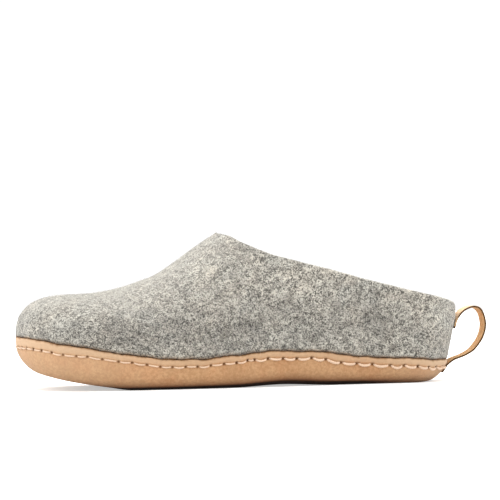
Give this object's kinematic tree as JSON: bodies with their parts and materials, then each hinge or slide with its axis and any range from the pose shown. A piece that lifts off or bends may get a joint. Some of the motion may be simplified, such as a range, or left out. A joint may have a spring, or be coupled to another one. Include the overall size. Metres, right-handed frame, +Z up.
{
  "type": "backless slipper",
  "caption": "Low-backed wool felt slipper for the left foot with a wrapped suede cup sole, a felt insole and a leather pull loop behind the heel.",
  "frame": {"origin": "on the floor under the middle of the heel", "axes": "+Z up, +X from the toe to the heel, -Y toward the outer side of the left foot"},
  "size_m": [0.2948, 0.1068, 0.095],
  "materials": {
    "grey_felt": "matt wet-felted wool, grey heather",
    "insole_felt": "matt cut wool felt",
    "tan_suede": "matt suede, tan",
    "tan_strap": "matt leather strip, tan with dark cut edges"
  },
  "bodies": {
    "root": {"upper": "grey_felt", "footbed": "insole_felt", "outsole": "tan_suede", "pull_loop": "tan_strap"}
  },
  "joints": []
}
